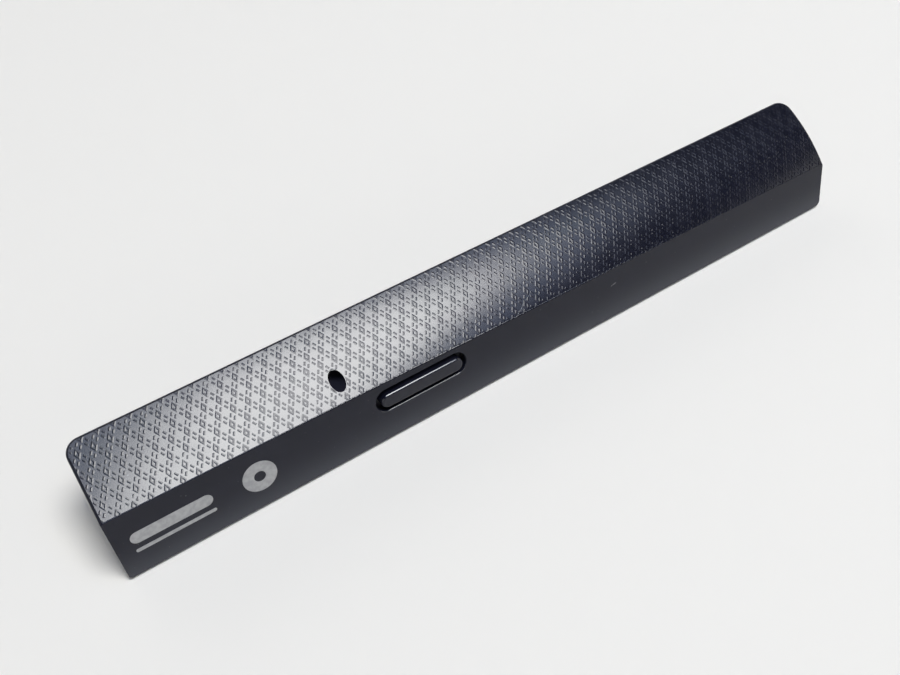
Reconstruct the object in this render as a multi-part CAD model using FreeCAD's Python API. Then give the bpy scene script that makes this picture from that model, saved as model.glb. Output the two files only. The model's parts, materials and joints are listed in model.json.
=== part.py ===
# Bezel of a slim optical drive: a thin moulded front with a sprung eject button.
#
# It is drawn as it sits on its drive. X runs along the bezel, Y is the depth behind the flat front band
# and Z is the height above the band's free edge. At the end every piece is laid back together, because a
# loose bezel rests on that edge and on the tips of its snap hooks. All sizes are in millimetres.
import FreeCAD
import Part

import math
import os

# Moulded skin: a flat band, a slanting crease, and a patterned face that slopes away behind the crease
LENGTH = 130.0
WALL = 1.5
BAND_LEFT = 10.7  # height of the crease at the left end
BAND_RIGHT = 8.2  # and at the right end
FACE_HEIGHT = 17.6  # height of the patterned face's far edge
FACE_DEPTH = 9.7  # depth of that edge behind the band
BULGE_LEFT = 0.05  # the patterned face is nearly flat at the left end
BULGE_RIGHT = 0.85  # and crowned at the right end
FAR_CORNER = 2.2
FOOT_CORNER_LEFT = 0.5
FOOT_CORNER_RIGHT = 0.9
FAR_ROUND = 0.4  # rounding of the patterned face's outer edges
EDGE_ROUND = 0.2  # rounding of the crease and of the band's edges

# Eject button, in a pill-shaped opening of the band
BUTTON_FROM_LEFT = 46.85
BUTTON_LEVEL = 6.79
BUTTON_LENGTH = 13.8
BUTTON_WIDTH = 2.24
BUTTON_PROUD = 0.4
BUTTON_ROUND = 0.4
BUTTON_GAP = 0.75  # all round, between the button and its opening
LIP_ROUND = 0.25  # rounding of the opening's front edge
FLANGE_LAP = 0.3  # how far the flange reaches past the opening, so that the button can't fall out
FLANGE_THICK = 0.8
FLANGE_GAP = 0.05  # between the flange and the skin at rest
NUB_RADIUS = 1.0  # the nub presses the drive's switch
NUB_LENGTH = 2.4
NUB_FROM_MIDDLE = 4.0

# Leaf spring behind the button, held on two posts with flattened heads
SPRING_THICK = 0.5
SPRING_WIDTH = 3.0
SPRING_REACH = 20.0  # from the button's middle to the nearer post
SPRING_TOE = 2.0  # how far the leaf runs past the button's middle
SPRING_GAP = 0.05  # between the leaf and the flange at rest
POST_RADIUS = 0.8
POST_PITCH = 4.5
POST_GAP = 0.05  # between a post and its hole, and under its head
POST_MARGIN = 2.0  # from a post's middle to the end of the leaf and of its seat
HEAD_LAP = 0.5
HEAD_HEIGHT = 0.6

# Emergency eject hole in the patterned face, with a collar behind it that guides the pin
HOLE_FROM_LEFT = 35.4
HOLE_ABOVE_CREASE = 2.15
HOLE_RADIUS = 1.13
COLLAR_WALL = 0.9
COLLAR_LENGTH = 5.0  # from the patterned face to the collar's rear end, along the hole's middle

# Snap hooks along the free edge
HOOK_SPREAD = 46.0  # from the middle hook to an outer one
HOOK_COUNT = 3
HOOK_WIDTH = 8.0
HOOK_LEVEL = 2.0  # height of a hook's lower face
HOOK_REACH = 9.0
HOOK_THICK = 1.2
HOOK_BARB = 0.7
HOOK_LEAD = 0.6  # slope at the tip that starts the hook into its slot
HOOK_CATCH = 0.7  # length of the barb's top

# Ribs that stiffen the inside of the crease
RIB_THICK = 1.0
RIB_WIDTH = 2.5
RIB_LEVEL = 5.5
RIB_DEPTH = 7.0
RIB_PITCH = 14.0
RIBS_AT_LEFT = 2
RIBS_AT_RIGHT = 4

# Places that follow from those sizes
LEFT_END = -LENGTH / 2
RIGHT_END = LENGTH / 2
BUTTON_X = LEFT_END + BUTTON_FROM_LEFT
HOLE_X = LEFT_END + HOLE_FROM_LEFT
OPENING_LENGTH = BUTTON_LENGTH + 2 * BUTTON_GAP
OPENING_WIDTH = BUTTON_WIDTH + 2 * BUTTON_GAP
FLANGE_FRONT = WALL + FLANGE_GAP
FLANGE_BACK = FLANGE_FRONT + FLANGE_THICK
SEAT_DEPTH = FLANGE_BACK + SPRING_GAP
POSTS = [BUTTON_X + SPRING_REACH, BUTTON_X + SPRING_REACH + POST_PITCH]
HOOK_HEEL = HOOK_REACH - HOOK_LEAD
LEAN = math.atan2(HOOK_LEVEL, HOOK_HEEL - WALL)

V = FreeCAD.Vector
ALONG = V(1, 0, 0)
INWARD = V(0, 1, 0)
SUNK = WALL / 2  # what stands on the inside of the skin starts half-way through it


def face_circle(crease, bulge):
    """Centre and radius of the arc that the patterned face has in section, for a given crease height."""
    rise = FACE_HEIGHT - crease
    chord = math.hypot(FACE_DEPTH, rise)
    radius = (chord ** 2 / 4 + bulge ** 2) / (2 * bulge)
    drop = (radius - bulge) / chord
    return FACE_DEPTH / 2 + drop * rise, (crease + FACE_HEIGHT) / 2 - drop * FACE_DEPTH, radius


def section(x, crease, bulge, depth):
    """Foot, crease, middle and far edge of the skin's section at x, at some depth below its surface."""
    centre_y, centre_z, radius = face_circle(crease, bulge)
    inner = radius - depth
    start = math.pi - math.acos((centre_y - depth) / inner)
    end = math.atan2(FACE_HEIGHT - centre_z, FACE_DEPTH - centre_y)
    angles = [start, (start + end) / 2, end]
    arc = [V(x, centre_y + inner * math.cos(a), centre_z + inner * math.sin(a)) for a in angles]
    return [V(x, depth, 0)] + arc


def section_ends(depth):
    """The skin's section at its two ends."""
    return [section(LEFT_END, BAND_LEFT, BULGE_LEFT, depth), section(RIGHT_END, BAND_RIGHT, BULGE_RIGHT, depth)]


def layer(shallow, deep):
    """The part of the skin's space between two depths below its surface, from end to end."""
    wires = []
    for outer, inner in zip(section_ends(shallow), section_ends(deep)):
        foot, crease, middle, far = outer
        back_foot, back_crease, back_middle, back_far = inner
        wires.append(Part.Wire([
            Part.LineSegment(foot, crease).toShape(),
            Part.Arc(crease, middle, far).toShape(),
            Part.LineSegment(far, back_far).toShape(),
            Part.Arc(back_far, back_middle, back_crease).toShape(),
            Part.LineSegment(back_crease, back_foot).toShape(),
            Part.LineSegment(back_foot, foot).toShape(),
        ]))
    return Part.makeLoft(wires, True, True)


def block(x0, x1, y0, y1, z0, z1):
    return Part.makeBox(x1 - x0, y1 - y0, z1 - z0, V(x0, y0, z0))


def rod(radius, x, y0, y1, z):
    return Part.makeCylinder(radius, y1 - y0, V(x, y0, z), INWARD)


def pill(x0, x1, width, y0, y1, z):
    """A flat bar from x0 to x1 with round ends, centred on the height z."""
    r = width / 2
    left = x0 + r
    right = x1 - r
    outline = Part.Wire([
        Part.LineSegment(V(left, y0, z - r), V(right, y0, z - r)).toShape(),
        Part.Arc(V(right, y0, z - r), V(x1, y0, z), V(right, y0, z + r)).toShape(),
        Part.LineSegment(V(right, y0, z + r), V(left, y0, z + r)).toShape(),
        Part.Arc(V(left, y0, z + r), V(x0, y0, z), V(left, y0, z - r)).toShape(),
    ])
    return Part.Face(outline).extrude(INWARD * (y1 - y0))


def button_pill(margin, y0, y1):
    """The button's outline, grown by a margin all round."""
    half = BUTTON_LENGTH / 2 + margin
    return pill(BUTTON_X - half, BUTTON_X + half, BUTTON_WIDTH + 2 * margin, y0, y1, BUTTON_LEVEL)


def nearest_edge(shape, point):
    spot = Part.Vertex(point)
    return min(shape.Edges, key=lambda edge: edge.distToShape(spot)[0])


def edges_at_depth(shape, depth):
    """The edges that lie wholly at one depth behind the band."""
    return [e for e in shape.Edges if all(abs(v.Y - depth) < 1e-6 for v in e.Vertexes)]


def middle(points):
    return sum(points[1:], points[0]) * (1.0 / len(points))


def skin():
    """The bare moulding, with its corners rounded in the face and its front edges eased."""
    outer_left, outer_right = section_ends(0)
    inner_left, inner_right = section_ends(WALL)
    body = layer(0, WALL)
    corners = [
        (FAR_CORNER, outer_left[3], inner_left[3]),
        (FAR_CORNER, outer_right[3], inner_right[3]),
        (FOOT_CORNER_LEFT, outer_left[0], inner_left[0]),
        (FOOT_CORNER_RIGHT, outer_right[0], inner_right[0]),
    ]
    for radius, outer, inner in corners:
        body = body.makeFillet(radius, [nearest_edge(body, middle([outer, inner]))])
    foot, crease, _, far = [middle(pair) for pair in zip(outer_left, outer_right)]
    body = body.makeFillet(FAR_ROUND, [nearest_edge(body, far)])
    return body.makeFillet(EDGE_ROUND, [nearest_edge(body, foot), nearest_edge(body, crease)])


def cut_button_opening(body):
    """Cut the pill-shaped opening and round its front edge."""
    opened = body.cut(button_pill(BUTTON_GAP, -WALL, 2 * WALL))
    tool_rim = button_pill(BUTTON_GAP, 0, WALL)
    rim = [nearest_edge(opened, e.CenterOfMass) for e in edges_at_depth(tool_rim, 0)]
    return opened.makeFillet(LIP_ROUND, rim)


def ribs():
    """Webs that follow the inside of the skin round the crease, the outermost flush with the ends."""
    contour = layer(SUNK, WALL + RIB_WIDTH)
    starts = [LEFT_END + i * RIB_PITCH for i in range(RIBS_AT_LEFT)]
    starts += [RIGHT_END - RIB_THICK - i * RIB_PITCH for i in range(RIBS_AT_RIGHT)]
    return [contour.common(block(x, x + RIB_THICK, 0, RIB_DEPTH, RIB_LEVEL, FACE_HEIGHT)) for x in starts]


def hooks():
    """Tongues that stand on the inside of the band, each with a barb and a lead-in slope at its tip."""
    top = HOOK_LEVEL + HOOK_THICK
    catch = HOOK_HEEL - HOOK_CATCH
    profile = [
        (SUNK, HOOK_LEVEL),
        (HOOK_HEEL, HOOK_LEVEL),
        (HOOK_REACH, HOOK_LEVEL + HOOK_LEAD),
        (HOOK_REACH, top),
        (HOOK_HEEL, top + HOOK_BARB),
        (catch, top + HOOK_BARB),
        (catch, top),
        (SUNK, top),
    ]
    made = []
    for i in range(HOOK_COUNT):
        x = (i - (HOOK_COUNT - 1) / 2) * HOOK_SPREAD - HOOK_WIDTH / 2
        outline = [V(x, y, z) for y, z in profile]
        made.append(Part.Face(Part.makePolygon(outline + outline[:1])).extrude(ALONG * HOOK_WIDTH))
    return made


def spring_seat():
    """The pad that the leaf lies on, with two posts whose heads are flattened over it."""
    half = SPRING_WIDTH / 2
    pad = block(POSTS[0] - POST_MARGIN, POSTS[-1] + POST_MARGIN, SUNK, SEAT_DEPTH,
                BUTTON_LEVEL - half, BUTTON_LEVEL + half)
    head_depth = SEAT_DEPTH + SPRING_THICK + POST_GAP
    pieces = [pad]
    for x in POSTS:
        pieces.append(rod(POST_RADIUS, x, SUNK, head_depth + HEAD_HEIGHT, BUTTON_LEVEL))
        pieces.append(Part.makeCone(POST_RADIUS + HEAD_LAP, POST_RADIUS, HEAD_HEIGHT,
                                    V(x, head_depth, BUTTON_LEVEL), INWARD))
    return pieces


def hole_place():
    """Height of the emergency hole, and the depth of the patterned face there."""
    share = HOLE_FROM_LEFT / LENGTH
    crease = BAND_LEFT + (BAND_RIGHT - BAND_LEFT) * share
    bulge = BULGE_LEFT + (BULGE_RIGHT - BULGE_LEFT) * share
    level = crease + HOLE_ABOVE_CREASE
    centre_y, centre_z, radius = face_circle(crease, bulge)
    return level, centre_y - math.sqrt(radius ** 2 - (level - centre_z) ** 2)


def collar(level, rear):
    """The tube behind the emergency hole, ended inside the skin's wall."""
    space = layer(SUNK, rear)
    return rod(HOLE_RADIUS + COLLAR_WALL, HOLE_X, 0, rear, level).common(space)


def bezel_shell():
    level, depth = hole_place()
    rear = depth + COLLAR_LENGTH
    body = cut_button_opening(skin())
    body = body.fuse(ribs() + hooks() + spring_seat() + [collar(level, rear)])
    body = body.cut(rod(HOLE_RADIUS, HOLE_X, -WALL, rear + WALL, level))
    return body.removeSplitter()


def eject_button():
    """Cap, retaining flange and switch nub, moulded as one."""
    cap = button_pill(0, -BUTTON_PROUD, FLANGE_BACK)
    cap = cap.makeFillet(BUTTON_ROUND, edges_at_depth(cap, -BUTTON_PROUD))
    flange = button_pill(BUTTON_GAP + FLANGE_LAP, FLANGE_FRONT, FLANGE_BACK)
    nub = rod(NUB_RADIUS, BUTTON_X - NUB_FROM_MIDDLE, FLANGE_FRONT, FLANGE_BACK + NUB_LENGTH, BUTTON_LEVEL)
    return cap.fuse([flange, nub]).removeSplitter()


def button_spring():
    """A flat leaf from its two posts to the back of the button's flange."""
    back = SEAT_DEPTH + SPRING_THICK
    leaf = pill(BUTTON_X - SPRING_TOE, POSTS[-1] + POST_MARGIN, SPRING_WIDTH, SEAT_DEPTH, back, BUTTON_LEVEL)
    holes = [rod(POST_RADIUS + POST_GAP, x, SEAT_DEPTH - WALL, back + WALL, BUTTON_LEVEL) for x in POSTS]
    return leaf.cut(holes)


def lay_back(pieces):
    """Lean every piece back onto the free edge and the hooks, with the origin under the middle of the whole."""
    turn = FreeCAD.Matrix()
    turn.rotateX(-LEAN)
    leaning = {name: shape.transformed(turn, copy=True) for name, shape in pieces.items()}
    box = Part.makeCompound(list(leaning.values())).optimalBoundingBox()
    move = FreeCAD.Matrix()
    move.move(V(-box.Center.x, -box.Center.y, -box.ZMin))
    return {name: shape.transformed(move, copy=True) for name, shape in leaning.items()}


def main():
    os.makedirs("parts", exist_ok=True)
    pieces = {
        "bezel_shell": bezel_shell(),
        "eject_button": eject_button(),
        "button_spring": button_spring(),
    }
    for name, shape in lay_back(pieces).items():
        solid = shape.Solids[0]
        solid.exportStep("parts/" + name + ".step")
        box = solid.optimalBoundingBox()
        print(name, "valid", solid.isValid(), "solids", len(shape.Solids), "volume", round(solid.Volume, 2),
              "x", round(box.XMin, 3), round(box.XMax, 3), "y", round(box.YMin, 3), round(box.YMax, 3),
              "z", round(box.ZMin, 3), round(box.ZMax, 3))


main()
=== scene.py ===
# %% [markdown]
# # The front of a slim optical drive
#
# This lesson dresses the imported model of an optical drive's bezel, the thin black moulding that closes the
# front of the disc tray. A flat, finely grained band carries the eject button. Behind a slanting crease, a
# satin face with a raised diamond pattern slopes away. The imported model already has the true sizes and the
# motion, so we load it first, keep its box to compare with at the end, and build the looks round it.

import json
import math

import bmesh
import bpy
import numpy as np
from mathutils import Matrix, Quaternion, Vector


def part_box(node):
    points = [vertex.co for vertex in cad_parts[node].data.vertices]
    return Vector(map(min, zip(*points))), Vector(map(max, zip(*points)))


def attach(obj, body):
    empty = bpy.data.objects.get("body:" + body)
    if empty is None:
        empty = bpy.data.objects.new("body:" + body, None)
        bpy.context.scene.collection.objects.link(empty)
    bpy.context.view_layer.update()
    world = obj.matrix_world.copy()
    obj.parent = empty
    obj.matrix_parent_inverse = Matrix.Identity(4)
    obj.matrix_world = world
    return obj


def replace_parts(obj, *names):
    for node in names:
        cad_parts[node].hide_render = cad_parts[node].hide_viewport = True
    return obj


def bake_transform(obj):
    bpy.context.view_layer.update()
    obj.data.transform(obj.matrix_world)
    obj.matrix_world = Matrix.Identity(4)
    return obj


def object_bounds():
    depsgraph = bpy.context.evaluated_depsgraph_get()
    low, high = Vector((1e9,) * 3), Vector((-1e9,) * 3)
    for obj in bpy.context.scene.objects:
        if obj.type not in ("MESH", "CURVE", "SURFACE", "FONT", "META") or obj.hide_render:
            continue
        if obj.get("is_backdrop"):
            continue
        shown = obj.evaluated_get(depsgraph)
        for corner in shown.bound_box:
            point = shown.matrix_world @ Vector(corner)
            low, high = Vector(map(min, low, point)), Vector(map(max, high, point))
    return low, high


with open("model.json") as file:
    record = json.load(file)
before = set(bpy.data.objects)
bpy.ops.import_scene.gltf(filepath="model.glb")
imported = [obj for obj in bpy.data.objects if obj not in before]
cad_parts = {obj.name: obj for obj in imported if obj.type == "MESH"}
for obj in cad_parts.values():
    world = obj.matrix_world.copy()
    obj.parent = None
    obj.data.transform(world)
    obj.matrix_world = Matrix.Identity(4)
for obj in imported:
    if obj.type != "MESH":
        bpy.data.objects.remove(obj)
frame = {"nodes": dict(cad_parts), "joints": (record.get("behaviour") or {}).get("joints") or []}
cad_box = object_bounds()
scene = bpy.context.scene
scene.view_settings.view_transform = "Standard"
print("packed nodes:", ", ".join(sorted(frame["nodes"])))

# %% [markdown]
# ## The drive's own directions
#
# A loose bezel leans back on its free edge and its hooks, but it was designed upright, on its drive. It is
# far easier to say "6.79 mm above the free edge" than to work that out on a leaning part, so two small
# functions turn drive measures into the leaning frame and back. The lean isn't typed in again: the button
# travels straight into the drive, so its joint axis is the drive's inward direction.

# %% Turn drive measures into the leaning frame
MM = 0.001
WALL = 1.5
EDGE_ROUND = 0.2
ALONG = np.array([1.0, 0.0, 0.0])
INWARD = np.array(frame["joints"][0]["axis"])
UPWARD = np.cross(ALONG, INWARD)
shell_low, shell_high = (np.array(corner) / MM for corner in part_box("bezel_shell"))
LENGTH = shell_high[0] - shell_low[0]
foot_ease = EDGE_ROUND * (INWARD[1] + UPWARD[1] - 1)
FOOT = np.array([shell_low[0], shell_low[1] - foot_ease, WALL * UPWARD[1]])


def in_row(x, depth, height):
    """Points in metres: the foot of the left end, plus x along, depth inward and height upward, all in mm."""
    x, depth, height = np.broadcast_arrays(x, depth, height)
    offset = x[..., None] * ALONG + depth[..., None] * INWARD + height[..., None] * UPWARD
    return (FOOT + offset) * MM


def in_drive(points):
    """The other way: x, depth and height in mm are a point's offset from that foot on each direction."""
    offset = points / MM - FOOT
    return offset @ ALONG, offset @ INWARD, offset @ UPWARD


lean = math.degrees(math.asin(UPWARD[1]))
print(f"the bezel is {LENGTH:.1f} mm long and leans back {lean:.2f} degrees")

# %% [markdown]
# ## The camera
#
# The bezel was seen from the front left, from well above. The camera could be placed by eye, but a slim part
# shows every degree, so its place, aim and lens were solved from the corners and the regular pattern of the
# real one. A camera looks along its own -Z, which is what to_track_quat is told.

# %% Place the camera
CAMERA_PLACE = Vector((-58.75, -74.42, 115.72)) * MM
CAMERA_AIM = Vector((-7.156, 3.915, 0.0)) * MM
CAMERA_ROLL = math.radians(-0.1)
CAMERA_LENS = 37.3
NEAREST_SEEN = 5 * MM

camera = bpy.data.objects.new("camera", bpy.data.cameras.new("camera"))
camera.data.lens = CAMERA_LENS
camera.data.clip_start = NEAREST_SEEN
camera.location = CAMERA_PLACE
level_look = (CAMERA_AIM - CAMERA_PLACE).to_track_quat("-Z", "Y")
camera.rotation_euler = (level_look @ Quaternion((0, 0, 1), CAMERA_ROLL)).to_euler()
scene.collection.objects.link(camera)
scene.camera = camera
print(f"camera {(CAMERA_AIM - CAMERA_PLACE).length / MM:.0f} mm away, {CAMERA_LENS} mm lens")

# %% [markdown]
# ## Shader maths as plain expressions
#
# A finish is a small graph of nodes, and wiring each one by hand hides the idea. So one class wraps an output
# socket: adding, subtracting or multiplying wires makes the Math nodes, and reflected forms let a number
# stand first, as in 1 - mask. Every other node comes from the method add, which sets the node's
# settings first and then gives each input a value or a link.

# %% A wire between shader nodes
class Wire:
    """One output socket of a material's nodes, usable in arithmetic."""

    def __init__(self, socket):
        self.socket = socket
        self.tree = socket.id_data

    def add(self, kind, settings, inputs, output=0):
        """Add a node of this kind to the same tree and return one of its outputs."""
        node = self.tree.nodes.new(kind)
        for name, value in settings.items():
            setattr(node, name, value)
        for key, value in inputs.items():
            if isinstance(value, Wire):
                self.tree.links.new(value.socket, node.inputs[key])
            else:
                node.inputs[key].default_value = value
        return Wire(node.outputs[output])

    def math(self, operation, first, second):
        return self.add("ShaderNodeMath", {"operation": operation}, {0: first, 1: second})

    def __add__(self, other):
        return self.math("ADD", self, other)

    __radd__ = __add__

    def __sub__(self, other):
        return self.math("SUBTRACT", self, other)

    def __rsub__(self, other):
        return self.math("SUBTRACT", other, self)

    def __mul__(self, other):
        return self.math("MULTIPLY", self, other)

    __rmul__ = __mul__

    def step(self, start, end):
        """0 before start and 1 after end, with a smooth rise between; start above end gives a fall."""
        limits = {"Value": self, "From Min": start, "From Max": end}
        return self.add("ShaderNodeMapRange", {"interpolation_type": "SMOOTHSTEP"}, limits)

    def vector(self, operation, other, output=0):
        return self.add("ShaderNodeVectorMath", {"operation": operation}, {0: self, 1: other}, output)

    def noise(self, per_mm, detail=2.0):
        """Soft random values around 0.5, with about that many lumps to the millimetre."""
        return self.add("ShaderNodeTexNoise", {}, {"Vector": self, "Scale": per_mm, "Detail": detail})

    def mix(self, plain, other):
        """A colour that goes from plain to other as this wire goes from 0 to 1."""
        factor, colour_a, colour_b, colour_out = 0, 6, 7, 2
        inputs = {factor: self, colour_a: plain, colour_b: other}
        return self.add("ShaderNodeMix", {"data_type": "RGBA"}, inputs, colour_out)

    def bump(self, height_mm):
        """The bumpy normal of a surface that this wire lifts by up to height_mm."""
        return self.add("ShaderNodeBump", {}, {"Height": self, "Distance": height_mm * MM}, "Normal")

    def feed(self, shader, name):
        self.tree.links.new(self.socket, shader.inputs[name])


def start_finish(name, **sockets):
    """A new material, its shader with these plain socket values, and the place on the object in mm."""
    material = bpy.data.materials.new(name)
    material.use_nodes = True
    tree = material.node_tree
    shader = tree.nodes["Principled BSDF"]
    for socket, value in sockets.items():
        shader.inputs[socket.replace("_", " ")].default_value = value
    metres = Wire(tree.nodes.new("ShaderNodeTexCoord").outputs["Object"])
    place = metres.add("ShaderNodeVectorMath", {"operation": "SCALE"}, {0: metres, "Scale": 1 / MM})
    return material, shader, place


print("shader helpers are ready")

# %% [markdown]
# ## Grids become meshes
#
# Every new piece below is a grid: rows and columns of points that numpy works out all at once. Neighbouring
# rows and columns make four-cornered faces, and a direction that closes on itself joins its last line to its
# first. A repeated shape uses the same faces again and again, shifted by the number of points in one shape.

# %% Helpers for grids and pieces
JOIN = 0.0001 * MM


def grid_faces(rows, columns, closed_rows=False, closed_columns=False):
    """Quads over a grid: the corners of each are (r, c), (r + 1, c), (r + 1, c + 1) and (r, c + 1)."""
    r, c = np.meshgrid(
        np.arange(rows if closed_rows else rows - 1),
        np.arange(columns if closed_columns else columns - 1),
        indexing="ij",
    )
    next_r = (r + 1) % rows
    next_c = (c + 1) % columns
    corners = [r * columns + c, next_r * columns + c, next_r * columns + next_c, r * columns + next_c]
    return np.stack(corners, axis=-1).reshape(-1, 4)


def repeat_faces(faces, points_each, count):
    """The same faces for every copy of a shape, each copy's shifted on by the points in one shape."""
    shifts = np.arange(count) * points_each
    return (shifts[:, None, None] + faces).reshape(-1, faces.shape[1])


def new_object(name, points, face_lists):
    """An object at the origin with these points in metres and these faces, joined and facing out."""
    mesh = bpy.data.meshes.new(name)
    faces = [face for faces in face_lists for face in faces.tolist()]
    mesh.from_pydata(points.reshape(-1, 3), [], faces)
    work = bmesh.new()
    work.from_mesh(mesh)
    bmesh.ops.remove_doubles(work, verts=work.verts[:], dist=JOIN)
    bmesh.ops.recalc_face_normals(work, faces=work.faces[:])
    work.to_mesh(mesh)
    work.free()
    mesh.shade_smooth()
    made = bpy.data.objects.new(name, mesh)
    scene.collection.objects.link(made)
    return made


def settle(piece, finish, body):
    """Give a finished piece its finish and the body that it rides on."""
    piece.data.materials.append(finish)
    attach(piece, body)
    print(f"{piece.name}: {len(piece.data.polygons)} faces, rides on {body}")


print("grid helpers are ready")

# %% [markdown]
# ## Floor and light
#
# The part lies on a plain pale sheet. A flat plane would end in a hard horizon in low views, so the floor is
# a wide bowl: a profile that runs flat and then curves up into a wall, carried round the upright axis. Far
# from the lamps it would look grey, so its outer part glows a little, for the camera's eye and in mirror-like
# and clear things, but without lighting the part. A round lamp, almost overhead and a little to the right,
# draws the long sheen on the patterned face, and a wider, cooler one round it lets the sheen fade out softly.
# A dim lamp low at the back picks out the inside in views from behind, and a dark grey surround fills in the
# rest.

# %% Set the floor, the lamps and the surround
FLOOR_RADIUS = 0.9
BOWL_RISE = 0.45
WALL_TOP = 0.8
FLAT_RING = 0.3
CURVE_POINTS = 24
BOWL_STEPS = 96
SHEET_GRAIN_PER_MM = 0.4
SHEET_GRAIN_HEIGHT = 0.01
FLOOR_COLOUR = (0.866, 0.842, 0.792, 1)
NO_GLOW = (0, 0, 0, 1)
FAR_GLOW = (0.31, 0.31, 0.31, 1)
GLOW_FROM = 300
GLOW_FULL = 1000
KEY_TOWARDS = (0.170, -0.175, 0.970)
BACK_TOWARDS = (-0.20, 0.85, 0.49)
WARM = (1.01, 1.0, 0.96)
COOL = (0.72, 0.95, 1.50)
SURROUND = (0.030, 0.032, 0.038, 1)


def carried_round(radius, height, steps):
    """A profile carried round the upright axis: x = radius cos a, y = radius sin a, z = height."""
    angle = np.arange(steps) / steps * 2 * np.pi
    x = radius[:, None] * np.cos(angle)
    y = radius[:, None] * np.sin(angle)
    return np.stack([x, y, height[:, None] + 0 * angle], axis=-1)


curve = np.linspace(0, np.pi / 2, CURVE_POINTS)
wall_radius = FLOOR_RADIUS + BOWL_RISE
bowl_radius = np.concatenate([[0.0, FLAT_RING], FLOOR_RADIUS + BOWL_RISE * np.sin(curve), [wall_radius]])
bowl_height = np.concatenate([[0.0, 0.0], BOWL_RISE * (1 - np.cos(curve)), [WALL_TOP]])
bowl_points = carried_round(bowl_radius, bowl_height, BOWL_STEPS)
bowl_faces = grid_faces(len(bowl_radius), BOWL_STEPS, closed_columns=True)
floor = new_object("floor", bowl_points, [bowl_faces])
floor_sockets = {"Base_Color": FLOOR_COLOUR, "Roughness": 0.9, "Emission_Strength": 1.0}
floor_finish, floor_shader, floor_place = start_finish("pale_sheet", **floor_sockets)
rays = ("Is Camera Ray", "Is Glossy Ray", "Is Transmission Ray")
camera_ray, glossy_ray, clear_ray = (floor_place.add("ShaderNodeLightPath", {}, {}, ray) for ray in rays)
far_out = floor_place.vector("DISTANCE", (0, 0, 0), "Value").step(GLOW_FROM, GLOW_FULL)
seen = camera_ray + glossy_ray + clear_ray
(seen * far_out).mix(NO_GLOW, FAR_GLOW).feed(floor_shader, "Emission Color")
floor_place.noise(SHEET_GRAIN_PER_MM).bump(SHEET_GRAIN_HEIGHT).feed(floor_shader, "Normal")
floor.data.materials.append(floor_finish)
floor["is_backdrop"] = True


def round_lamp(name, towards, distance, half_angle, brightness, colour):
    """A disc lamp that looks half_angle degrees wide each way from the part: its radius is the distance times
    the tangent of that angle, and an even disc's power is its brightness times pi times its area."""
    towards = Vector(towards).normalized()
    radius = distance * math.tan(math.radians(half_angle))
    lamp = bpy.data.objects.new(name, bpy.data.lights.new(name, "AREA"))
    lamp.data.shape = "DISK"
    lamp.data.size = 2 * radius
    lamp.data.color = colour
    lamp.data.energy = brightness * math.pi ** 2 * radius ** 2
    lamp.location = towards * distance
    lamp.rotation_euler = (-towards).to_track_quat("-Z", "Y").to_euler()
    scene.collection.objects.link(lamp)


round_lamp("key_lamp", KEY_TOWARDS, distance=1.20, half_angle=14.0, brightness=12.4, colour=WARM)
round_lamp("halo_lamp", KEY_TOWARDS, distance=1.22, half_angle=24.0, brightness=0.95, colour=COOL)
round_lamp("back_lamp", BACK_TOWARDS, distance=0.80, half_angle=15.0, brightness=0.9, colour=WARM)
scene.world = bpy.data.worlds.new("surround")
scene.world.use_nodes = True
scene.world.node_tree.nodes["Background"].inputs["Color"].default_value = SURROUND
print("floor, three lamps and an even surround")

# %% [markdown]
# ## The patterned face as a formula
#
# Seen in section, the face is an arc from the crease to the far edge: nearly flat at the left end, crowned at
# the right. Between the ends it is ruled, so each point is a straight mix of the two end arcs. The pattern
# must lie on exactly this surface, and the smooth shading of the big face needs its true normals, so the
# surface is written once, as a function of x and of the share of the way up the arc.

# %% The face, its normals and its nearest points
BAND_LEFT = 10.7
BAND_RIGHT = 8.2
FACE_HEIGHT = 17.6
FACE_DEPTH = 9.7
BULGE_LEFT = 0.05
BULGE_RIGHT = 0.85
SMALL = 1e-4
SHARE_SAMPLES = 201
TANGENT_MOVES = 2
RUN_PLACES = 66
RUN_POINTS = 65


def end_arc(crease, bulge, share):
    """Depth and height on an end's arc: the circle through the crease and the far edge that bulges out
    midway by the given amount, read at a share of the angle from the crease, 0, to the far edge, 1."""
    rise = FACE_HEIGHT - crease
    chord = math.hypot(FACE_DEPTH, rise)
    radius = (chord ** 2 / 4 + bulge ** 2) / (2 * bulge)
    drop = (radius - bulge) / chord
    centre_depth = FACE_DEPTH / 2 + drop * rise
    centre_height = (crease + FACE_HEIGHT) / 2 - drop * FACE_DEPTH
    start = math.pi - math.acos(centre_depth / radius)
    end = math.atan2(FACE_HEIGHT - centre_height, FACE_DEPTH - centre_depth)
    angle = start + (end - start) * share
    return np.stack([centre_depth + radius * np.cos(angle), centre_height + radius * np.sin(angle)])


def face_section(x, share):
    """Depth and height of the face: the left arc and the right arc mixed by how far along x is."""
    x, share = np.broadcast_arrays(x, share)
    t = x / LENGTH
    return end_arc(BAND_LEFT, BULGE_LEFT, share) * (1 - t) + end_arc(BAND_RIGHT, BULGE_RIGHT, share) * t


def face_normal(x, share):
    """Outward direction in drive measures: the cross product of the slopes along x and along the arc."""
    by_x = (face_section(x + SMALL, share) - face_section(x - SMALL, share)) / (2 * SMALL)
    by_share = (face_section(x, share + SMALL) - face_section(x, share - SMALL)) / (2 * SMALL)
    normal = np.stack([by_x[0] * by_share[1] - by_x[1] * by_share[0], -by_share[1], by_share[0]])
    return normal / np.linalg.norm(normal, axis=0)


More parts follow.
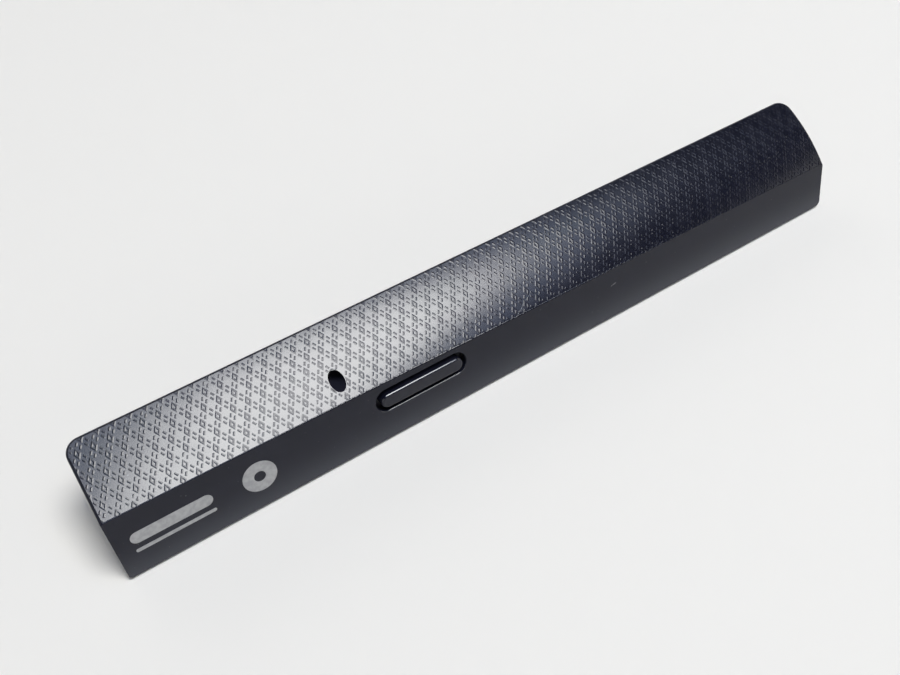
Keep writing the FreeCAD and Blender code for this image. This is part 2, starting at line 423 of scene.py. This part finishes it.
def nearest_on_face(x, depth, height):
    """The closest share, the gap above the face and the normal there: the best of many samples, moved on
    along the tangent."""
    samples = np.linspace(0, 1, SHARE_SAMPLES)
    tried = face_section(x[:, None], samples)
    distance = np.hypot(tried[0] - depth[:, None], tried[1] - height[:, None])
    share = samples[distance.argmin(axis=1)]
    for _ in range(TANGENT_MOVES):
        away = np.stack([depth, height]) - face_section(x, share)
        slope = (face_section(x, share + SMALL) - face_section(x, share - SMALL)) / (2 * SMALL)
        share = share + (away * slope).sum(axis=0) / (slope ** 2).sum(axis=0)
    away = np.stack([depth, height]) - face_section(x, share)
    normal = face_normal(x, share)
    return share, (away * normal[1:]).sum(axis=0), normal


def face_run(x):
    """Length of the face in section at x, from the far edge to the crease, added up over short steps."""
    places = np.linspace(0, LENGTH, RUN_PLACES)
    line = face_section(places[:, None], np.linspace(0, 1, RUN_POINTS))
    runs = np.hypot(np.diff(line[0]), np.diff(line[1])).sum(axis=1)
    return np.interp(x, places, runs)


def on_face(x, run, rise):
    """Points in metres at x, at a run along the face from the far edge, and at a rise above the face."""
    share = 1 - run / face_run(x)
    depth, height = face_section(x, share)
    normal = face_normal(x, share)
    return in_row(x + rise * normal[0], depth + rise * normal[1], height + rise * normal[2])


ends = face_run(np.array([0.0, LENGTH]))
print(f"the face is {ends[0]:.2f} mm wide at the left end and {ends[1]:.2f} mm at the right")

# %% [markdown]
# ## Finishes of the moulding
#
# The whole moulding is one black plastic, a little blue in the light. What differs is the mould's surface:
# the band was spark-eroded to a fine matt grain, the patterned face was left satin. Both are the same recipe
# with other numbers: nearly black, a noise that varies the gloss, and a grain a few microns high. The inside,
# which nobody sees, is coarser, and it is painted a paler grey than the outside: painted light, so that it
# reads in the dim light at the back. The spring's plastic is a dark grey. The band and the button are painted
# paler towards the band's free edge: a painted reflection of the nearby floor. One scratch of several fine
# strokes runs up from the crease near the middle, and each stroke has two ends, a half width in mm and a
# strength.

# %% Black plastic with grain and scuffs
BLACK = (0.0040, 0.0046, 0.0120, 1)
BLACK_WORN = (0.0075, 0.0082, 0.0170, 1)
# painted light: the inside is painted a paler grey than the outside so that it reads in the dim back light
INSIDE_PAINTED_GREY = (0.036, 0.037, 0.041, 1)
INSIDE_PAINTED_GREY_WORN = (0.050, 0.051, 0.055, 1)
CHARCOAL = (0.070, 0.071, 0.076, 1)
CHARCOAL_WORN = (0.090, 0.091, 0.096, 1)
SCUFF_GREY = (0.30, 0.30, 0.31, 1)
# painted reflection of the floor: the colour the band is painted towards its free edge, from and to heights in
# mm
PAINTED_FLOOR_REFLECTION = (0.064, 0.067, 0.079, 1)
PAINTED_REFLECTION_FROM = 9.0
PAINTED_REFLECTION_FULL = -3.0
GLOSS_SPREAD = 0.12
TONE_NOISE = (0.35, 3.0)
TONE_RANGE = (0.35, 0.75)
SPECK_NOISE = (3.1, 1.0)
SPECK_RANGE = (0.77, 0.82)
SPECK_STRENGTH = 0.25
BREAK_NOISE = (2.3, 2.0)
BREAK_RANGE = (0.30, 0.60)
MARK_ROUGHNESS = 0.2
LINE_CORE = 0.3


def line_mask(place, start, end, half_width):
    """1 on the line between two points and 0 off it: how far along the line a place is, held between its
    ends, gives the nearest point of the line, and the distance to that point is compared with the width."""
    start, end = Vector(start), Vector(end)
    direction = (end - start).normalized()
    offset = place.vector("SUBTRACT", start)
    along = offset.vector("DOT_PRODUCT", direction, "Value")
    held = along.math("MINIMUM", along.math("MAXIMUM", along, 0.0), (end - start).length)
    scaled = held.add("ShaderNodeVectorMath", {"operation": "SCALE"}, {0: direction, "Scale": held})
    distance = offset.vector("DISTANCE", scaled, "Value")
    return distance.step(half_width, half_width * LINE_CORE)


def black_plastic(
    name, gloss, grain_per_mm, grain_height, ior=1.40, tones=(BLACK, BLACK_WORN), scuffs=(), painted_reflection=0.0
):
    """Black moulded plastic: worn tones and gloss follow soft noise, a fine grain bends the normal, and the
    colour is painted paler towards the free edge by the given share, a painted reflection of the nearby floor."""
    material, shader, place = start_finish(name, IOR=ior)
    tone = place.noise(*TONE_NOISE).step(*TONE_RANGE)
    specks = place.noise(*SPECK_NOISE).step(*SPECK_RANGE)
    height = place.vector("DOT_PRODUCT", UPWARD, "Value") - FOOT @ UPWARD
    # painted reflection of the floor: the colour pales towards the band's free edge
    reflection_share = height.step(PAINTED_REFLECTION_FROM, PAINTED_REFLECTION_FULL)
    colour = (reflection_share * reflection_share * painted_reflection).mix(tone.mix(*tones), PAINTED_FLOOR_REFLECTION)
    marks = specks * SPECK_STRENGTH
    broken = place.noise(*BREAK_NOISE).step(*BREAK_RANGE)
    for start, end, half_width, strength in scuffs:
        marks = marks + line_mask(place, start, end, half_width) * broken * strength
    marks.mix(colour, SCUFF_GREY).feed(shader, "Base Color")
    (gloss + tone * (gloss * GLOSS_SPREAD) + marks * MARK_ROUGHNESS).feed(shader, "Roughness")
    place.noise(grain_per_mm).bump(grain_height).feed(shader, "Normal")
    return material


def face_spot(x, run):
    return tuple(on_face(np.array(x), np.array(run), np.array(0.0)) / MM)


def band_spot(x, height):
    return tuple(in_row(np.array(x), np.array(0.0), np.array(height)) / MM)


scratch = [
    (face_spot(63.6, 12.9), face_spot(65.4, 11.9), 0.08, 0.6),
    (face_spot(65.4, 11.9), face_spot(66.2, 11.3), 0.07, 0.5),
    (face_spot(65.0, 12.3), face_spot(65.8, 12.0), 0.06, 0.4),
    (face_spot(66.2, 11.3), face_spot(67.9, 10.5), 0.09, 0.25),
]
band_scuff = (band_spot(82.1, 6.1), band_spot(83.0, 6.3), 0.08, 1.0)
# the band and the button are painted paler at the bottom as a painted reflection of the floor
band_finish = black_plastic(
    "grained_band", gloss=0.47, grain_per_mm=9.0, grain_height=0.004, scuffs=[band_scuff], painted_reflection=1.0
)
face_finish = black_plastic(
    "satin_face", gloss=0.20, grain_per_mm=14.0, grain_height=0.0008, ior=1.62, scuffs=scratch
)
ridge_finish = black_plastic("satin_ridge", gloss=0.23, grain_per_mm=14.0, grain_height=0.0008, ior=1.50)
rim_finish = black_plastic("polished_rim", gloss=0.18, grain_per_mm=14.0, grain_height=0.0005, ior=1.8)
button_finish = black_plastic(
    "button_black", gloss=0.40, grain_per_mm=11.0, grain_height=0.0025, ior=1.45, painted_reflection=1.0
)
leaf_finish = black_plastic(
    "leaf_charcoal", gloss=0.36, grain_per_mm=5.0, grain_height=0.0015, tones=(CHARCOAL, CHARCOAL_WORN)
)
# the coarser inside, painted a paler grey as painted light for the dim back
core_finish = black_plastic(
    "matt_inside", gloss=0.50, grain_per_mm=4.0, grain_height=0.006, tones=(INSIDE_PAINTED_GREY, INSIDE_PAINTED_GREY_WORN)
)
bore_finish = black_plastic("matt_bore", gloss=0.85, grain_per_mm=6.0, grain_height=0.004, ior=1.3)
skin_finishes = (band_finish, face_finish, rim_finish, bore_finish, core_finish)
GRAINED, SATIN, POLISHED, MATT, INSIDE = range(len(skin_finishes))
print("finishes of the skin:", ", ".join(finish.name for finish in skin_finishes))

# %% [markdown]
# ## The moulded skin
#
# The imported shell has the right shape, but it comes as loose triangles, and the long thin ones across the
# patterned face would show as streaks in its sheen. So a copy is joined up and shaded smooth, edges sharper
# than 35 degrees stay crisp, and wherever a corner of a triangle lies on the face or on the band, it gets
# that surface's true normal from the formula. A zero stands for "work this one out as usual".

# %% Join the shell and give it true normals
PACKED_JOIN = 10 * JOIN
SHARP = math.radians(35)
TOUCH = 0.02


def read(items, name, width, kind=np.float32):
    """One property of all items of a mesh as an array with that many columns."""
    values = np.empty(len(items) * width, kind)
    items.foreach_get(name, values)
    return values.reshape(-1, width)


def joined_copy(node, name):
    """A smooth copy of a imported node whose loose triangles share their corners."""
    mesh = frame["nodes"][node].data.copy()
    work = bmesh.new()
    work.from_mesh(mesh)
    bmesh.ops.remove_doubles(work, verts=work.verts[:], dist=PACKED_JOIN)
    work.to_mesh(mesh)
    work.free()
    mesh.materials.clear()
    mesh.shade_smooth()
    mesh.set_sharp_from_angle(angle=SHARP)
    copy = bpy.data.objects.new(name, mesh)
    scene.collection.objects.link(copy)
    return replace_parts(copy, node)


skin = joined_copy("bezel_shell", "moulded_skin")
corner_point = read(skin.data.loops, "vertex_index", 1, np.int32)[:, 0]
corners_each = read(skin.data.polygons, "loop_total", 1, np.int32)[:, 0]
first_corner = read(skin.data.polygons, "loop_start", 1, np.int32)[:, 0]
flat_normal = np.repeat(read(skin.data.polygons, "normal", 3), corners_each, axis=0)
x, depth, height = in_drive(read(skin.data.vertices, "co", 3).astype(float))
_, gap, drive_normal = nearest_on_face(x, depth, height)
outward = drive_normal.T @ np.stack([ALONG, INWARD, UPWARD])
surfaces = [
    (np.abs(gap) < TOUCH, outward),
    (np.abs(gap + WALL) < TOUCH, -outward),
    (np.abs(depth) < TOUCH, np.broadcast_to(-INWARD, outward.shape)),
]
true_normal = np.zeros_like(flat_normal)
for touches, normal in surfaces:
    facing = (flat_normal * normal[corner_point]).sum(axis=1) > math.cos(SHARP)
    use = touches[corner_point] & facing
    true_normal[use] = normal[corner_point][use]
    if normal is outward:
        patterned = np.logical_and.reduceat(use, first_corner)
skin.data.normals_split_custom_set(true_normal.tolist())
for finish in skin_finishes[:-1]:
    skin.data.materials.append(finish)
settle(skin, skin_finishes[-1], "root")
skin_finish = np.where(patterned, SATIN, GRAINED)
skin.data.polygons.foreach_set("material_index", skin_finish)
print(f"{patterned.sum()} faces are satin, the others grained")

# %% [markdown]
# ## The raised diamond pattern
#
# The face is covered by a double-lined lattice: at every crossing a small rhombus ring, and on every line
# between two crossings a pair of short dashes that run on from the rings' sides. It could be a bump map, but
# low ridges catch the light at the edges of the face, so they are real. Both shapes share one section like a
# flat roof, 16 microns high, whose slopes lean less than six degrees. So a ridge is dark where the face
# shines, and one of its slopes glints where the face is dark. It is shaded flat, and short skirts reach below
# the face.

# %% The lattice and the ridge section
LATTICE_FIRST_X = 1.39
LATTICE_FIRST_RUN = 2.23
LATTICE_PITCH = 2.2043
LATTICE_ROW = 1.8961
LATTICE_COLUMNS = np.arange(-2, 120)
LATTICE_ROWS = np.arange(-2, 7)
RIDGE_HALF = 0.165
RIDGE_HEIGHT = 0.016
RIDGE_SUNK = 0.06
SKIRT = 0.005

ridge_across = np.array([-RIDGE_HALF - SKIRT, -RIDGE_HALF, 0, RIDGE_HALF, RIDGE_HALF + SKIRT])
ridge_rise = np.array([-RIDGE_SUNK, 0, RIDGE_HEIGHT, 0, -RIDGE_SUNK])

column, row = np.meshgrid(LATTICE_COLUMNS, LATTICE_ROWS)
crossing = (column + row) % 2 == 0
node_x = LATTICE_FIRST_X + column[crossing] * LATTICE_PITCH / 2
node_run = LATTICE_FIRST_RUN + row[crossing] * LATTICE_ROW
print(f"{node_x.size} crossings of the lattice before trimming")

# %% [markdown]
# ### Trimming the ridges
#
# The mould's pattern simply stops at the edges of the face, at its rounded corners and round the hole.
# Cutting meshes there would be slow and untidy. Pulling each point that lies outside back to the border gives
# the same clean stop, and a shape that lay wholly outside is dropped.

# %% Pull points back onto the face
FAR_CORNER = 2.2
EDGE_MARGIN = 0.42
CREASE_MARGIN = 0.06
CREASE_LIFT = 0.014
LIFT_FULL = 0.55
LIFT_ENDS = 1.15
HOLE_X = 35.4
HOLE_ABOVE_CREASE = 2.15
HOLE_RADIUS = 1.13
HOLE_MARGIN = 0.1

hole_crease = BAND_LEFT + (BAND_RIGHT - BAND_LEFT) * HOLE_X / LENGTH
hole_shares = np.linspace(0, 1, 2 * SHARE_SAMPLES - 1)
hole_line = face_section(HOLE_X, hole_shares)
hole_share = np.interp(hole_crease + HOLE_ABOVE_CREASE, hole_line[1], hole_shares)
hole_run = (1 - hole_share) * face_run(HOLE_X)
hole_slope = np.gradient(hole_line[1], hole_shares) / face_run(HOLE_X)
hole_half_run = HOLE_RADIUS / np.interp(hole_share, hole_shares, hole_slope)


def off_corner(x, run, radius):
    """Inside a rounded corner at (0, 0): the offset from the arc's centre is shortened to its radius."""
    across = np.maximum(radius - x, 0)
    down = np.maximum(radius - run, 0)
    reach = np.hypot(across, down)
    shorten = np.minimum((radius - EDGE_MARGIN) / np.maximum(reach, SMALL), 1)
    outside = (across > 0) & (down > 0)
    return np.where(outside, radius - across * shorten, x), np.where(outside, radius - down * shorten, run)


def off_hole(x, run):
    """Outside the hole's oval: the offset from its centre, in oval radii, is lengthened to at least 1."""
    across = (x - HOLE_X) / (HOLE_RADIUS + HOLE_MARGIN)
    down = (run - hole_run) / (hole_half_run + HOLE_MARGIN)
    lengthen = 1 / np.clip(np.hypot(across, down), SMALL, 1)
    x = HOLE_X + across * lengthen * (HOLE_RADIUS + HOLE_MARGIN)
    return x, hole_run + down * lengthen * (hole_half_run + HOLE_MARGIN)


def trim(x, run):
    """x and run held inside the face's straight edges, then its rounded corners, then outside the hole."""
    x = np.clip(x, EDGE_MARGIN, LENGTH - EDGE_MARGIN)
    run = np.clip(run, EDGE_MARGIN, face_run(x) - CREASE_MARGIN)
    x, run = off_corner(x, run, FAR_CORNER)
    mirrored, run = off_corner(LENGTH - x, run, FAR_CORNER)
    return off_hole(LENGTH - mirrored, run)


def ridges(name, x, run, rise, face_lists):
    """A piece of many ridges: x, run and rise have one row per ridge, and face_lists are one ridge's faces.
    A ridge stays if any of its points was inside the border before trimming. Close to the crease the packed
    skin stands a few microns proud of the formula, so there the ridges are lifted by as much."""
    held_x, held_run = trim(x, run)
    inside = (np.abs(held_x - x) < SMALL) & (np.abs(held_run - run) < SMALL)
    kept = inside.any(axis=1)
    from_crease = face_run(held_x) - held_run
    lift = CREASE_LIFT * np.clip((LIFT_ENDS - from_crease) / (LIFT_ENDS - LIFT_FULL), 0, 1)
    points = on_face(held_x[kept], held_run[kept], (rise + lift)[kept])
    faces = [repeat_faces(one, x.shape[1], kept.sum()) for one in face_lists]
    piece = new_object(name, points, faces)
    piece.data.shade_flat()
    settle(piece, ridge_finish, "root")


print(f"the hole is {2 * hole_half_run:.2f} mm long on the face, {hole_run:.2f} mm from the far edge")

# %% [markdown]
# ### Rings and dashes
#
# A ring is the ridge section carried round a rhombus with slightly eased corners. Raising the cosine and sine
# of a circle to a power near two squeezes the circle into that rhombus. A dash is the section carried along a
# short straight line, with its crown let down to the face at both ends.

# %% Carry the ridge round the rings and along the dashes
RING_HALF_X = 0.31
RING_HALF_RUN = 0.54
RING_STATIONS = 8
RING_POWER = 1.9
DASH_HALF = 0.30
DASH_CROWN_HALF = 0.22


def eased_power(wave):
    return np.sign(wave) * np.abs(wave) ** RING_POWER


turn = np.arange(RING_STATIONS) / RING_STATIONS * 2 * np.pi
inner_radius = RING_HALF_X * RING_HALF_RUN / math.hypot(RING_HALF_X, RING_HALF_RUN)
swell = 1 + ridge_across / inner_radius
ring_x = (RING_HALF_X * eased_power(np.cos(turn))[:, None] * swell).ravel()
ring_run = (RING_HALF_RUN * eased_power(np.sin(turn))[:, None] * swell).ravel()
ring_rise = np.tile(ridge_rise, RING_STATIONS)
ring_faces = grid_faces(RING_STATIONS, len(ridge_rise), closed_rows=True, closed_columns=True)
ridges("pattern_rings", node_x[:, None] + ring_x, node_run[:, None] + ring_run, ring_rise, [ring_faces])

stations = np.array([-DASH_HALF, -DASH_CROWN_HALF, DASH_CROWN_HALF, DASH_HALF])
dash_along = np.repeat(stations, len(ridge_rise))
dash_across = np.tile(ridge_across, len(stations))
dash_rise = np.stack([np.minimum(ridge_rise, 0), ridge_rise, ridge_rise, np.minimum(ridge_rise, 0)]).ravel()
dash_sides = grid_faces(len(stations), len(ridge_rise), closed_columns=True)
end_points = np.arange(len(ridge_rise))
dash_ends = np.stack([end_points, end_points + (len(stations) - 1) * len(ridge_rise)])
dash_x, dash_run = [], []
for lean_x in (1, -1):
    link = np.array([lean_x * LATTICE_PITCH / 2, LATTICE_ROW])
    way = link / np.linalg.norm(link)
    for side in (1, -1):
        middle_x = node_x + link[0] / 2 + side * lean_x * RING_HALF_X / 2
        middle_run = node_run + link[1] / 2 - side * RING_HALF_RUN / 2
        dash_x.append(middle_x[:, None] + dash_along * way[0] - dash_across * way[1])
        dash_run.append(middle_run[:, None] + dash_along * way[1] + dash_across * way[0])
dash_faces = [dash_sides, dash_ends]
ridges("pattern_dashes", np.concatenate(dash_x), np.concatenate(dash_run), dash_rise, dash_faces)

# %% [markdown]
# ## The bead along the crease
#
# Where the two surfaces of the mould meet, the plastic is left a hair higher, and that hair catches the lamp
# as a thin bright line along the crease. It has the ridges' section, made narrower and lower, and carried
# from end to end just above the crease. So its path is simply a run that keeps its distance from the end of
# the face.

# %% Carry a fine bead along the crease
BEAD_FROM_CREASE = 0.07
BEAD_HALF = 0.08
BEAD_HEIGHT = 0.014
BEAD_STATIONS = 131

bead_x = np.linspace(EDGE_MARGIN, LENGTH - EDGE_MARGIN, BEAD_STATIONS)[:, None]
bead_across = ridge_across * (BEAD_HALF / RIDGE_HALF)
bead_rise = ridge_rise * (BEAD_HEIGHT / RIDGE_HEIGHT)
bead_run = face_run(bead_x) - BEAD_FROM_CREASE + bead_across
bead_points = on_face(*np.broadcast_arrays(bead_x, bead_run, bead_rise))
bead_sides = grid_faces(BEAD_STATIONS, len(ridge_rise), closed_columns=True)
bead_ends = np.stack([end_points, end_points + (BEAD_STATIONS - 1) * len(ridge_rise)])
bead = new_object("crease_bead", bead_points, [bead_sides, bead_ends])
bead.data.shade_flat()
settle(bead, face_finish, "root")

# %% [markdown]
# ## Turned pill shapes
#
# The button, its nub and the printed marks all have one kind of outline: a bar with round ends. Such a shape
# is like something turned on a lathe, but round a short line in place of a point: each pair of radius and
# depth in the profile becomes one loop, half of it round the right end of the line and half round the left.

# %% A profile carried round a bar with round ends
HALF_TURN_STEPS = 20


def pill_loops(middle_x, level, half_span, profile):
    """Loops of a pill: x = middle + or - half_span + radius cos a, height = level + radius sin a, for a from
    -90 to 90 degrees at the right end and from 90 to 270 at the left, at the depth that the profile gives."""
    quarter = np.pi / 2
    right = np.linspace(-quarter, quarter, HALF_TURN_STEPS + 1)
    angle = np.concatenate([right, right + np.pi])
    shift = np.repeat([half_span, -half_span], HALF_TURN_STEPS + 1)
    radius, depth = np.array(profile).T[:, :, None]
    x = middle_x + shift + radius * np.cos(angle)
    return in_row(x, depth + 0 * angle, level + radius * np.sin(angle))


def rounding(radius, depth, size, steps=6):
    """Profile points of a quarter round, from the front plane at that depth to the side at that radius."""
    angle = np.linspace(0, np.pi / 2, steps + 1)
    return list(zip(radius - size + size * np.sin(angle), depth + size - size * np.cos(angle)))


def pill_faces(profile, closed=False):
    return grid_faces(len(profile), 2 * (HALF_TURN_STEPS + 1), closed_rows=closed, closed_columns=True)


print(f"{2 * (HALF_TURN_STEPS + 1)} points in each loop")

# %% [markdown]
# ## The eject button
#
# The button is a small bar that stands 0.4 mm proud of the band, with well rounded edges, a flange behind
# that keeps it from falling out, and a nub that reaches the drive's switch. Its profile starts and ends on
# the middle line, which closes it. A second loop just inside the rounded edge keeps the front flat under
# smooth shading. Fingers have polished the upper edge, so the faces there that look up are glossier.

# %% Turn the button and its nub
BUTTON_X = 46.85
BUTTON_LEVEL = 6.79
BUTTON_LENGTH = 13.8
BUTTON_RADIUS = 1.12
BUTTON_PROUD = 0.4
BUTTON_ROUND = 0.4
FLANGE_RADIUS = 2.17
FLANGE_FRONT = 1.55
FLANGE_BACK = 2.35
NUB_RADIUS = 1.0
NUB_LENGTH = 2.4
NUB_SUNK = 0.4
NUB_ROUND = 0.2
NUB_FROM_MIDDLE = 4.0
HOLD = 0.03

flat_edge = BUTTON_RADIUS - BUTTON_ROUND
button_profile = [(0, -BUTTON_PROUD), (flat_edge - HOLD, -BUTTON_PROUD)]
button_profile += rounding(BUTTON_RADIUS, -BUTTON_PROUD, BUTTON_ROUND)
button_profile += [(BUTTON_RADIUS, FLANGE_FRONT), (FLANGE_RADIUS, FLANGE_FRONT)]
button_profile += [(FLANGE_RADIUS, FLANGE_BACK), (0, FLANGE_BACK)]
nub_end = FLANGE_BACK + NUB_LENGTH
nub_profile = [(0, FLANGE_BACK - NUB_SUNK), (NUB_RADIUS, FLANGE_BACK - NUB_SUNK)]
nub_edge = rounding(NUB_RADIUS, nub_end, NUB_ROUND)[::-1]
nub_profile += [(radius, 2 * nub_end - depth) for radius, depth in nub_edge]
nub_profile += [(0, nub_end)]

half_span = BUTTON_LENGTH / 2 - BUTTON_RADIUS
cap_points = pill_loops(BUTTON_X, BUTTON_LEVEL, half_span, button_profile).reshape(-1, 3)
nub_points = pill_loops(BUTTON_X - NUB_FROM_MIDDLE, BUTTON_LEVEL, 0, nub_profile).reshape(-1, 3)
button_faces = [pill_faces(button_profile), pill_faces(nub_profile) + len(cap_points)]
button = new_object("button_cap", np.concatenate([cap_points, nub_points]), button_faces)
button.data.set_sharp_from_angle(angle=SHARP)
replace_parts(button, "eject_button")
settle(button, button_finish, "button")
button.data.materials.append(rim_finish)


def face_middles(piece):
    """The middles of a piece's faces in drive measures, and how far each face looks up, from -1 to 1."""
    middles = in_drive(read(piece.data.polygons, "center", 3).astype(float))
    return *middles, read(piece.data.polygons, "normal", 3) @ UPWARD


LOOKS_UP = 0.4
_, depth, _, upness = face_middles(button)
polished = (depth < -BUTTON_PROUD + BUTTON_ROUND) & (upness > LOOKS_UP)
button.data.polygons.foreach_set("material_index", polished.astype(np.int32))
print(f"{polished.sum()} faces of the button are polished")

# %% [markdown]
# ### Polished rims, the dark bore and the inside
#
# The same fingers have polished the lower lip of the button's opening. The small hole still has the matt
# surface of its core pin, and the narrow rounding of the crease, where two parts of the mould met, is matt
# too. These are faces of the skin, so all that is needed is to pick them: a face's middle, in drive measures,
# is close to the opening's rim, to the crease or to the axis of the hole. The inside is whatever lies a
# wall's thickness or more behind both the band and the patterned face.

# %% Pick the skin's faces by their middles
BUTTON_GAP = 0.75
LIP_ROUND = 0.25

x, depth, height, upness = face_middles(skin)
beyond_span = np.maximum(np.abs(x - BUTTON_X) - half_span, 0)
from_rim = np.hypot(beyond_span, height - BUTTON_LEVEL) - BUTTON_RADIUS - BUTTON_GAP
at_lip = (from_rim > -TOUCH) & (from_rim < LIP_ROUND) & (depth < LIP_ROUND) & (upness > LOOKS_UP)
above_crease = height - (BAND_LEFT + (BAND_RIGHT - BAND_LEFT) * x / LENGTH)
at_crease = (np.abs(above_crease) < EDGE_ROUND) & (depth > 0) & (depth < EDGE_ROUND)
from_axis = np.hypot(x - HOLE_X, height - hole_crease - HOLE_ABOVE_CREASE)
in_bore = from_axis < HOLE_RADIUS + TOUCH
_, gap, _ = nearest_on_face(x, depth, height)
at_end = (x < TOUCH) | (x > LENGTH - TOUCH)
inside = (depth > WALL - TOUCH) & (gap < TOUCH - WALL) & ~at_end
skin_finish[inside] = INSIDE
skin_finish[at_lip] = POLISHED
skin_finish[in_bore | at_crease] = MATT
skin.data.polygons.foreach_set("material_index", skin_finish)
print(f"{at_lip.sum()} faces on the lip, {at_crease.sum()} on the crease, {in_bore.sum()} in the bore")
print(f"{inside.sum()} faces on the inside")

# %% [markdown]
# ## The leaf spring
#
# A flat leaf on two headed posts holds the button out. Its shape in the imported model is right, but it has no
# points between its ends, so it can't bend. A joined copy is sliced across at even steps, so that it has
# points between its ends.

# %% Slice the leaf
LEAF_ROOT_X = 64.85
LEAF_FREE_X = 54.8
LEAF_SLICES = 24

leaf = joined_copy("button_spring", "button_leaf")
work = bmesh.new()
work.from_mesh(leaf.data)
for slice_x in np.linspace(LEAF_FREE_X, LEAF_ROOT_X, LEAF_SLICES):
    plane = in_row(np.array(slice_x), np.array(0.0), np.array(0.0))
    everything = work.verts[:] + work.edges[:] + work.faces[:]
    bmesh.ops.bisect_plane(work, geom=everything, plane_co=plane, plane_no=ALONG)
work.to_mesh(leaf.data)
work.free()
leaf.data.set_sharp_from_angle(angle=SHARP)
leaf.data.materials.append(leaf_finish)
leaf_root = in_row(np.array(LEAF_ROOT_X), np.array(FLANGE_BACK), np.array(BUTTON_LEVEL))
leaf_free = in_row(np.array(LEAF_FREE_X), np.array(FLANGE_BACK), np.array(BUTTON_LEVEL))
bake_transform(leaf)
print(f"{leaf.name}: {len(leaf.data.polygons)} faces, bends from the moulding to the button")

# %% [markdown]
# ## The printed marks
#
# The left end of the band has a pale print. Here it is a plain disc ring, a bar and a thin rule, with nothing
# to read. Pad printing leaves a film a few microns thick, so each mark is a very thin closed shape that just
# stands proud of the band, and the film's colour is slightly uneven as thin ink is.

# %% Lay the printed film
PRINT_GREY = (0.40, 0.40, 0.40, 1)
PRINT_THIN = (0.31, 0.31, 0.315, 1)
PRINT_PROUD = 0.012
PRINT_SUNK = 0.02
INK_NOISE = (1.4, 3.0)
INK_RANGE = (0.3, 0.7)

print_finish, print_shader, print_place = start_finish("pale_print", Roughness=0.55)
ink = print_place.noise(*INK_NOISE).step(*INK_RANGE)
ink.mix(PRINT_THIN, PRINT_GREY).feed(print_shader, "Base Color")


def printed(name, middle_x, level, half_span, outer, inner=0.0):
    """A printed ring, or a bar where half_span isn't 0: a flat loop of film from inner to outer radius."""
    film = [(inner, PRINT_SUNK), (inner, -PRINT_PROUD), (outer, -PRINT_PROUD), (outer, PRINT_SUNK)]
    faces = pill_faces(film, closed=inner > 0)
    mark = new_object(name, pill_loops(middle_x, level, half_span, film), [faces])
    mark.data.set_sharp_from_angle(angle=SHARP)
    settle(mark, print_finish, "root")


printed("print_ring", middle_x=20.5, level=5.4, half_span=0.0, outer=2.5, inner=0.85)
printed("print_bar", middle_x=8.0, level=6.0, half_span=4.8, outer=0.95)
printed("print_rule", middle_x=8.0, level=3.9, half_span=5.4, outer=0.28)

# %% [markdown]
# ## Sizes
#
# The looks may not change the part's size, so the size of the box now, less the size of the box from the
# start, is printed.

# %% Compare the boxes and finish
new_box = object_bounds()
growth = [(new - old) / MM for new, old in zip(new_box[1] - new_box[0], cad_box[1] - cad_box[0])]
print("the visual box is larger by", ", ".join(f"{g:.3f}" for g in growth), "mm")
